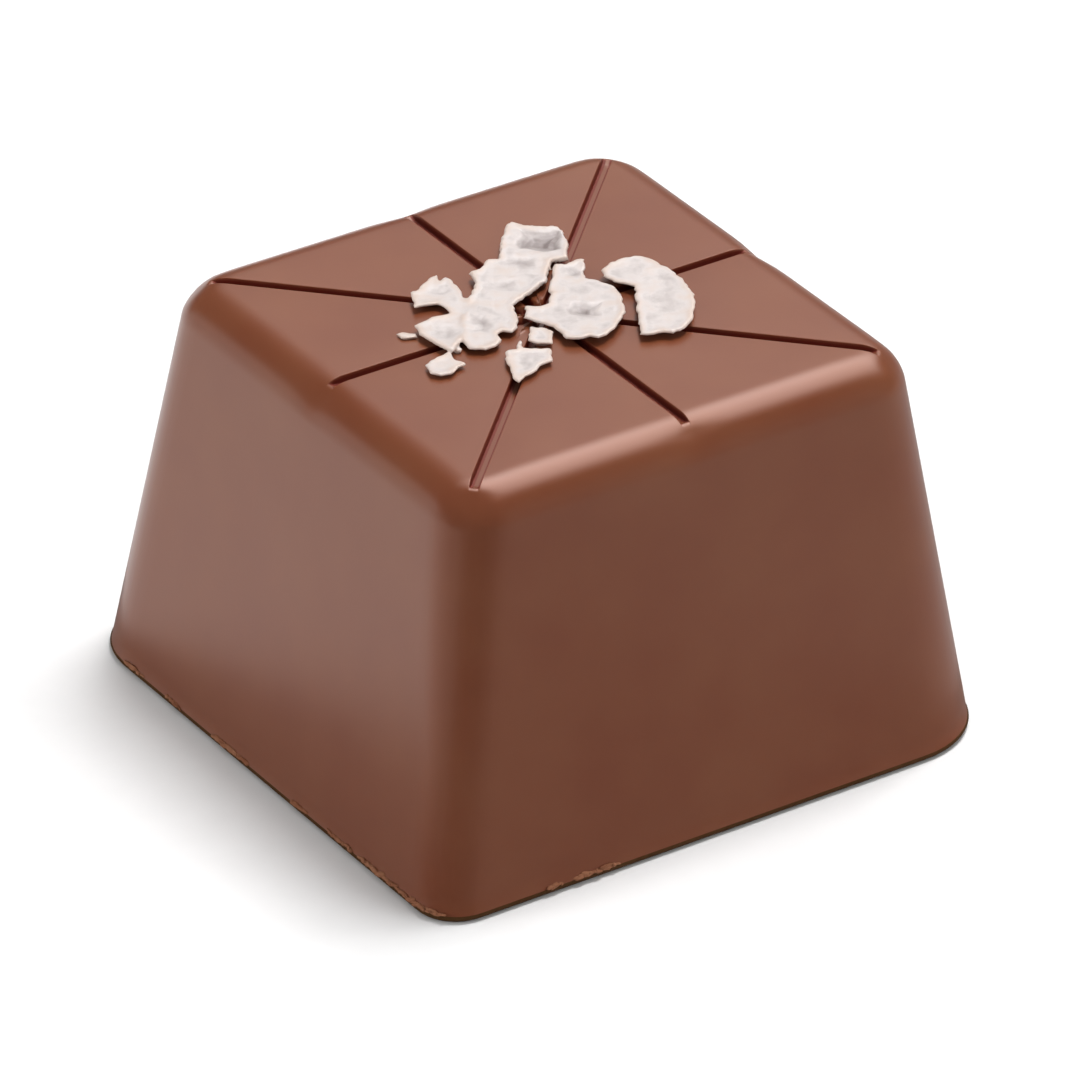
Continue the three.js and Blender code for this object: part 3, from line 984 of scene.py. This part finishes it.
def salt_heap(material):
    points = []
    faces = []
    draw = random.Random(FILL_SEED)
    for name in FLAKES:
        first = len(points)
        shell, shell_faces = flake_shell(name, draw)
        points.extend(shell.tolist())
        faces.extend(tuple(first + i for i in face) for face in shell_faces)
    heap = new_piece("salt_flakes", points, faces)
    skin = heap.modifiers.new("one_skin", "REMESH")
    skin.mode = "VOXEL"
    skin.voxel_size = VOXEL
    even = heap.modifiers.new("even_out", "SMOOTH")
    even.factor = 0.5
    even.iterations = 3
    heap.data = evaluated_mesh(heap)
    heap.modifiers.clear()
    mark_grey(heap.data)
    heap.data.transform(Matrix.Scale(MM, 4))
    heap.data.materials.clear()
    heap.data.materials.append(material)
    heap.data.shade_smooth()
    return heap


def mark_grey(mesh):
    """Stores each point's grey value, taken from the group of flakes that it belongs to."""
    place = np.empty(len(mesh.vertices) * 3)
    mesh.vertices.foreach_get("co", place)
    place = place.reshape(-1, 3)
    grey = np.zeros(len(place))
    nearest = np.full(len(place), 1e9)
    for group in sorted({flake.get("group", name) for name, flake in FLAKES.items()}):
        top, _, shade, inner = flake_surface(place[:, :2], group)
        off = np.abs(place[:, 2] - HEIGHT - top) + OUTSIDE_PENALTY * np.maximum(-inner, 0)
        grey = np.where(off < nearest, shade * (off < TOP_MARGIN), grey)
        nearest = np.minimum(nearest, off)
    mesh.attributes.new("grey", "FLOAT", "POINT").data.foreach_set("value", grey)


# %% [markdown]
# ## Sea salt
#
# Salt is clear, and a flake looks white because light is scattered by the brine and air that are
# shut in it. So it is a white, slightly translucent solid with a clear gloss. The plates are
# nearly white. The broken rims are painted a little warmer, as painted light from the chocolate
# around them. The hollows, where the plate is thin, are painted grey: painted shade of the hollow,
# and the dark chocolate that would show through the thin salt. The greyness is stored with the
# mesh, a cloudy noise makes it uneven, and a colour ramp turns it into the three shades. A fine
# bump stands for the etched growth lines that are too small to model.

# %% Salt material
# Painted light and shade: the warm rim tone and the grey of the hollows.
SALT_RIM_PAINTED_WARMTH = "#C6B5AB"
SALT_INSIDE = "#C7BEBB"
SALT_HOLLOW_PAINTED_SHADE = "#877C7A"
SALT_CLOUD_SIZE = 0.7
SALT_CLOUD_SWING = 0.5
ETCHING_SIZE = 0.3
ETCHING_HEIGHT = 0.02


def crushed_sea_salt():
    material, tree, place = blank_material("sea_salt_crushed_flakes")
    # The grey value: painted light at the warm rims and painted shade in the grey hollows.
    painted_grey = add_node(tree, "ShaderNodeAttribute", attribute_name="grey").outputs["Fac"]
    clouds = add_node(tree, "ShaderNodeTexNoise", {
        "Vector": place, "Scale": per_metre(SALT_CLOUD_SIZE), "Detail": 3.0})
    cloudy = add_node(tree, "ShaderNodeMapRange", {
        "Value": clouds, "To Min": -SALT_CLOUD_SWING, "To Max": SALT_CLOUD_SWING})
    shade = add_node(tree, "ShaderNodeMath", (painted_grey, cloudy), operation="ADD", use_clamp=True)
    tone = add_node(tree, "ShaderNodeValToRGB", {"Fac": shade})
    stops = tone.color_ramp.elements
    stops[0].color = colour(SALT_RIM_PAINTED_WARMTH)
    stops[1].color = colour(SALT_HOLLOW_PAINTED_SHADE)
    stops.new(GREY_INSIDE).color = colour(SALT_INSIDE)
    scratch = add_node(tree, "ShaderNodeTexNoise", {
        "Vector": place, "Scale": per_metre(ETCHING_SIZE), "Detail": 3.0, "Roughness": 0.6})
    etched = add_node(tree, "ShaderNodeBump", {
        "Height": scratch, "Distance": ETCHING_HEIGHT * MM, "Strength": 1.0})
    crystal = add_node(tree, "ShaderNodeBsdfPrincipled", {
        "Base Color": tone, "Roughness": 0.4, "IOR": 1.54, "Normal": etched,
        "Subsurface Weight": 0.3, "Subsurface Radius": (1.0, 0.9, 0.85),
        "Subsurface Scale": 0.2 * MM})
    add_node(tree, "ShaderNodeOutputMaterial", {"Surface": crystal})
    return material


salt = crushed_sea_salt()
heap = salt_heap(salt)
print("salt heap:", len(heap.data.vertices), "points,", len(heap.data.polygons), "faces")

# %% [markdown]
# ## Stand, light and camera
#
# The candy stands on a pale seamless sheet under soft light. A long lens looks down on its front
# corner at about thirty degrees, so that its upright edges stay nearly parallel. The camera's
# place follows from two angles and a distance, and two very small turns put the candy where it
# is in the frame.

# %% Camera
VIEW_AZIMUTH = -33.91
VIEW_ELEVATION = 30.54
VIEW_DISTANCE = 414.4
LENS_PER_FRAME = 9.298
FRAME_WIDTH = 36.0
VIEW_PITCH = 0.004
VIEW_ROLL = -0.0083


def place_camera():
    azimuth = math.radians(VIEW_AZIMUTH)
    elevation = math.radians(VIEW_ELEVATION)
    back = Vector((math.sin(azimuth) * math.cos(elevation),
                   -math.cos(azimuth) * math.cos(elevation), math.sin(elevation)))
    right = Vector((math.cos(azimuth), math.sin(azimuth), 0))
    axes = Matrix((right, back.cross(right), back))
    turn = Matrix.Rotation(VIEW_ROLL, 3, "Z") @ Matrix.Rotation(VIEW_PITCH, 3, "X")
    data = bpy.data.cameras.new("long_lens")
    data.sensor_width = FRAME_WIDTH
    data.lens = FRAME_WIDTH * LENS_PER_FRAME
    data.clip_start = 0.01
    camera = bpy.data.objects.new("camera", data)
    place = (Vector((0, 0, HEIGHT / 2)) + back * VIEW_DISTANCE) * MM
    camera.matrix_world = Matrix.Translation(place) @ (turn @ axes).transposed().to_4x4()
    bpy.context.scene.collection.objects.link(camera)
    bpy.context.scene.camera = camera
    return camera


camera = place_camera()
print("camera at, mm:", [round(v / MM, 1) for v in camera.matrix_world.translation])

# %% [markdown]
# ## Floor
#
# The floor is a wide sheet of matt white paper. It isn't part of the object. It has a faint fibre
# in its tone but no edge in view, so it reads as a plain ground. The gloss doesn't mirror it: what
# the chocolate mirrors from below is drawn with the lights.

# %% Paper sheet
FLOOR_HALF = 3000
PAPER_TONES = (0.84, 0.87)
FIBRE_SIZE = 1.5


def paper_floor():
    material, tree, place = blank_material("paper_sheet_matt")
    fibre = add_node(tree, "ShaderNodeTexNoise", {
        "Vector": place, "Scale": per_metre(FIBRE_SIZE)})
    tone = add_node(tree, "ShaderNodeMapRange", {
        "Value": fibre, "To Min": PAPER_TONES[0], "To Max": PAPER_TONES[1]})
    paper = add_node(tree, "ShaderNodeBsdfPrincipled", {
        "Base Color": tone, "Roughness": 0.9, "Specular IOR Level": 0.0})
    add_node(tree, "ShaderNodeOutputMaterial", {"Surface": paper})
    side = FLOOR_HALF * MM
    corners = [(-side, -side, 0), (side, -side, 0), (side, side, 0), (-side, side, 0)]
    floor = new_piece("paper_floor", corners, [(0, 1, 2, 3)])
    floor.data.materials.append(material)
    floor.visible_glossy = False


paper_floor()
print("paper sheet, m:", 2 * FLOOR_HALF * MM)

# %% [markdown]
# ## Studio light
#
# One large softbox hangs high on the right and throws the soft shadow to the left. Two fainter
# lamps fill that shadow. They could light the gloss as well, but then a change to the shadow would
# move the highlights too, so these lamps light only the matt part of each surface.

# %% Lamps
LAMP_DISTANCE = 350

# Each lamp: compass angle from +Y towards +X, elevation, side of its square, radiance.
LAMPS = {
    "softbox": (75, 73, 108, 27.3),
    "left_fill": (-75, 12, 140, 7.8),
    "front_fill": (148, 14, 160, 4.2),
}


def toward(azimuth, elevation):
    """Unit vector for a compass angle from +Y towards +X and an elevation, in degrees."""
    a = math.radians(azimuth)
    e = math.radians(elevation)
    return Vector((math.sin(a) * math.cos(e), math.cos(a) * math.cos(e), math.sin(e)))


def area_lamp(name, side, radiance, place, aim):
    """A square lamp at place that shines against the direction aim. The camera doesn't see it."""
    data = bpy.data.lights.new(name, "AREA")
    data.shape = "SQUARE"
    data.size = side * MM
    data.energy = radiance * math.pi * data.size ** 2
    lamp = bpy.data.objects.new(name, data)
    lamp.location = place * MM
    lamp.rotation_euler = aim.to_track_quat("Z", "Y").to_euler()
    lamp.visible_camera = False
    bpy.context.scene.collection.objects.link(lamp)
    return lamp


def hang_lamps():
    for name, (azimuth, elevation, side, radiance) in LAMPS.items():
        aim = toward(azimuth, elevation)
        area_lamp(name, side, radiance, aim * LAMP_DISTANCE, aim).visible_glossy = False


hang_lamps()
print("lamps:", len(LAMPS))

# %% [markdown]
# ## What the gloss mirrors
#
# A satin surface shows less how much light falls on it than what it mirrors. So the mirrored studio
# is drawn as round patches of light and dark on the world, for the rays that a gloss sends out. The
# softbox there makes the bright band along the right rim, a lamp overhead and the back wall light
# the top, a wall on the left gives the left side its sheen, and the rest of the room is dark. Below
# the horizon lies dim ground with a black cloth before the camera, and two white sheets on it
# brighten the lower part of the sides. All other rays see one pale room that fills the shadow, and
# the camera sees plain white behind everything.

# %% Mirrored studio
FILL = 0.45
SHEET_LIFT = 0.05

# Each mirrored patch: compass angle, elevation, inner and outer radius in degrees, radiance. They
# end at the horizon. Around them is the dark room, and below them the dim ground.
MIRRORED_PATCHES = {
    "softbox": (74, 60, 12, 33, 5.7),
    "overhead": (20, 68, 4, 24, 2.4),
    "back_wall": (48, 40, 10, 32, 1.05),
    "left_wall": (-44, -3, 16, 24, 1.1),
}
DARK_ROOM = 0.09
DIM_GROUND = 0.28

# The black cloth on the ground before the camera: compass angle, elevation and the two radii.
BLACK_CLOTH = (236, -12, 20, 75)

# White sheets that lie on the floor and that only the gloss mirrors: the direction they lie in,
# how far their near edge is from the middle of the candy, their side and their radiance.
SHEETS = {
    "left_sheet": (-45, 21.2, 400, 1.0),
    "right_sheet": (95, 18.0, 400, 0.35),
}


def lay_sheets():
    for name, (azimuth, near_edge, side, radiance) in SHEETS.items():
        place = toward(azimuth, 0) * (near_edge + side / 2)
        place.z = SHEET_LIFT
        sheet = area_lamp(name, side, radiance, place, Vector((0, 0, -1)))
        sheet.rotation_euler.z = -math.radians(azimuth)
        sheet.visible_diffuse = False


def round_patch(tree, heading, azimuth, elevation, inner, outer, radiance):
    """A round patch of the sky: the radiance up to the inner radius, then fading to the outer."""
    middle = toward(azimuth, elevation)
    along = add_node(tree, "ShaderNodeVectorMath", (heading, middle), operation="DOT_PRODUCT")
    return add_node(tree, "ShaderNodeMapRange", {
        "Value": along, "From Min": math.cos(math.radians(outer)),
        "From Max": math.cos(math.radians(inner)), "To Max": radiance},
        interpolation_type="SMOOTHSTEP")


def studio_world():
    world = bpy.data.worlds.new("studio")
    world.use_nodes = True
    tree = world.node_tree
    tree.nodes.clear()
    heading = add_node(tree, "ShaderNodeTexCoord").outputs["Generated"]
    total, *others = [round_patch(tree, heading, *patch) for patch in MIRRORED_PATCHES.values()]
    for light in others:
        total = add_node(tree, "ShaderNodeMath", (total, light))
    height = add_node(tree, "ShaderNodeSeparateXYZ", (heading,)).outputs["Z"]
    above = add_node(tree, "ShaderNodeMath", (height, 0.0), operation="GREATER_THAN")
    shown = add_node(tree, "ShaderNodeMath", (total, above), operation="MULTIPLY")
    hidden = round_patch(tree, heading, *BLACK_CLOTH, DIM_GROUND)
    ground = add_node(tree, "ShaderNodeMath", (DIM_GROUND, hidden), operation="SUBTRACT")
    room = add_node(tree, "ShaderNodeMix", {"Factor": above, "A": ground, "B": DARK_ROOM})
    mirrored = add_node(tree, "ShaderNodeMath", (shown, room))
    rays = add_node(tree, "ShaderNodeLightPath").outputs
    lit = add_node(tree, "ShaderNodeMix", {
        "Factor": rays["Is Glossy Ray"], "A": FILL, "B": mirrored})
    seen = add_node(tree, "ShaderNodeMix", {"Factor": rays["Is Camera Ray"], "A": lit, "B": 1.0})
    backdrop = add_node(tree, "ShaderNodeBackground", {"Color": (1, 1, 1, 1), "Strength": seen})
    add_node(tree, "ShaderNodeOutputWorld", {"Surface": backdrop})
    bpy.context.scene.world = world


lay_sheets()
studio_world()
bpy.context.scene.view_settings.view_transform = "Standard"
print("mirrored patches:", len(MIRRORED_PATCHES), "sheets:", len(SHEETS))

# %% [markdown]
# ## Hand the pieces over
#
# The pieces take the place of the imported candy: the chocolate block, its scrapings and the salt
# ride with its one body, and the finish of the record that each stands for is printed.

# %% Ride and replace
for piece, finish in ((block, "chocolate"), (scrapings, "chocolate"), (heap, "salt")):
    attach(piece, "root")
    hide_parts("candy")
    print(piece.name, "has the finish", finish)

bpy.context.view_layer.update()
